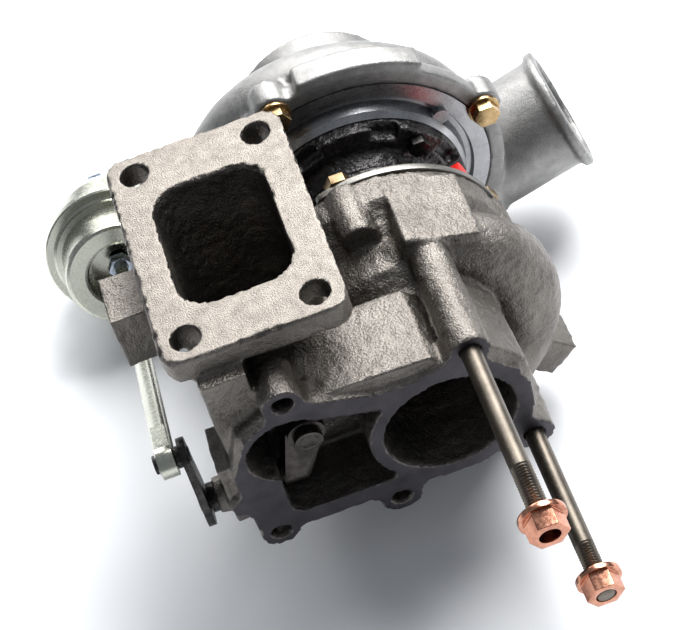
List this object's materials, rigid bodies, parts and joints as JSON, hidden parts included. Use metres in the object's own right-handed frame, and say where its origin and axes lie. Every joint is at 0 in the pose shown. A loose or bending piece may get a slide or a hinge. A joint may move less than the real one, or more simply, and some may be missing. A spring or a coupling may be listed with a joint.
{
  "type": "turbocharger",
  "caption": "Small car turbocharger with cast turbine and compressor housings, internal wastegate and pressure actuator",
  "frame": {"origin": "centre of the turbine outlet bore, in the machined outlet face, on the shaft axis", "axes": "+Y along the shaft from the turbine to the compressor inlet, +Z the way the turbine inlet flange faces, +X to the side where the compressor outlet points"},
  "size_m": [0.2466, 0.3072, 0.1491],
  "materials": {
    "cast_iron": "rough sand-cast iron, machined on its two flange faces",
    "stud_steel": "dark oiled steel",
    "copper": "copper-plated steel",
    "plate_steel": "dull zinc-plated steel",
    "bronze_zinc": "yellow-brown zinc",
    "dark_iron": "dark cast iron",
    "red_plastic": "bright shipping plug",
    "inconel": "heat-proof nickel alloy",
    "bronze": "bearing bronze",
    "spring_steel": "spring steel",
    "tool_steel": "ground steel",
    "machined_aluminium": "turned aluminium",
    "dark_steel": "black steel",
    "rubber": "black rubber",
    "cast_aluminium": "bead-blasted cast aluminium",
    "golden_zinc": "yellow chromate zinc",
    "heat_steel": "cast heat-proof steel",
    "pale_zinc": "pale yellow-green zinc",
    "blue_zinc": "bluish bright zinc"
  },
  "bodies": {
    "housings": {"turbine_housing": "cast_iron", "outlet_studs": "stud_steel", "outlet_nuts": "copper", "clamp_plate_upper": "plate_steel", "clamp_plate_lower": "plate_steel", "clamp_bolts": "bronze_zinc", "centre_housing": "dark_iron", "oil_inlet_plug": "red_plastic", "heat_shroud": "inconel", "bearing_circlips": "spring_steel", "thrust_bearing": "bronze", "piston_ring_turbine": "tool_steel", "piston_ring_compressor": "tool_steel", "compressor_backplate": "machined_aluminium", "backplate_bolts": "dark_steel", "backplate_o_ring": "rubber", "compressor_housing": "cast_aluminium", "compressor_washers": "golden_zinc", "compressor_bolts": "golden_zinc", "wastegate_bushing": "dark_steel", "can_front": "pale_zinc", "can_rear": "pale_zinc", "diaphragm": "rubber", "actuator_spring": "spring_steel", "hose_nipple": "pale_zinc", "can_studs": "pale_zinc", "actuator_bracket": "plate_steel", "can_nuts": "blue_zinc", "bracket_bolts": "golden_zinc"},
    "rotor": {"turbine_rotor": "inconel", "compressor_wheel": "machined_aluminium", "compressor_nut": "tool_steel", "thrust_collar": "tool_steel", "oil_slinger": "tool_steel"},
    "turbine_bearing": {"journal_bearing_turbine": "bronze"},
    "compressor_bearing": {"journal_bearing_compressor": "bronze"},
    "crank": {"wastegate_crank": "heat_steel", "wastegate_lever": "dark_steel", "lever_pin": "dark_steel", "pin_clip": "spring_steel"},
    "valve": {"wastegate_valve": "heat_steel", "valve_washer": "heat_steel"},
    "rod": {"actuator_rod": "pale_zinc", "rod_end": "pale_zinc", "lock_nut": "blue_zinc", "diaphragm_piston": "pale_zinc"}
  },
  "joints": [
    {"name": "rotor_spin", "type": "hinge", "parent": "housings", "child": "rotor", "pos_m": [0, 0.09, 0], "axis": [0, 1, 0], "continuous": true},
    {"name": "turbine_bearing_spin", "type": "hinge", "parent": "housings", "child": "turbine_bearing", "pos_m": [0, 0.0869, 0], "axis": [0, 1, 0], "continuous": true},
    {"name": "compressor_bearing_spin", "type": "hinge", "parent": "housings", "child": "compressor_bearing", "pos_m": [0, 0.1055, 0], "axis": [0, 1, 0], "continuous": true},
    {"name": "wastegate_swing", "type": "hinge", "parent": "housings", "child": "crank", "pos_m": [-0.08, 0.015, -0.0145], "axis": [1, 0, 0], "range_deg": [0, 24], "stiffness_Nm_per_rad": 3, "springref_deg": -14.32},
    {"name": "valve_turn", "type": "hinge", "parent": "crank", "child": "valve", "pos_m": [-0.053, 0.014, 0.0135], "axis": [0, 1, 0], "continuous": true},
    {"name": "rod_pivot", "type": "hinge", "parent": "crank", "child": "rod", "pos_m": [-0.1065, 0.01883, 0.01273], "axis": [1, 0, 0], "range_deg": [-22.62, 0], "deforming": ["actuator_spring", "diaphragm"]}
  ],
  "couplings": [
    {"joint": "rod_pivot", "follows": "wastegate_swing", "ratio": -0.9422},
    {"joint": "turbine_bearing_spin", "follows": "rotor_spin", "ratio": 0.3},
    {"joint": "compressor_bearing_spin", "follows": "rotor_spin", "ratio": 0.3}
  ]
}
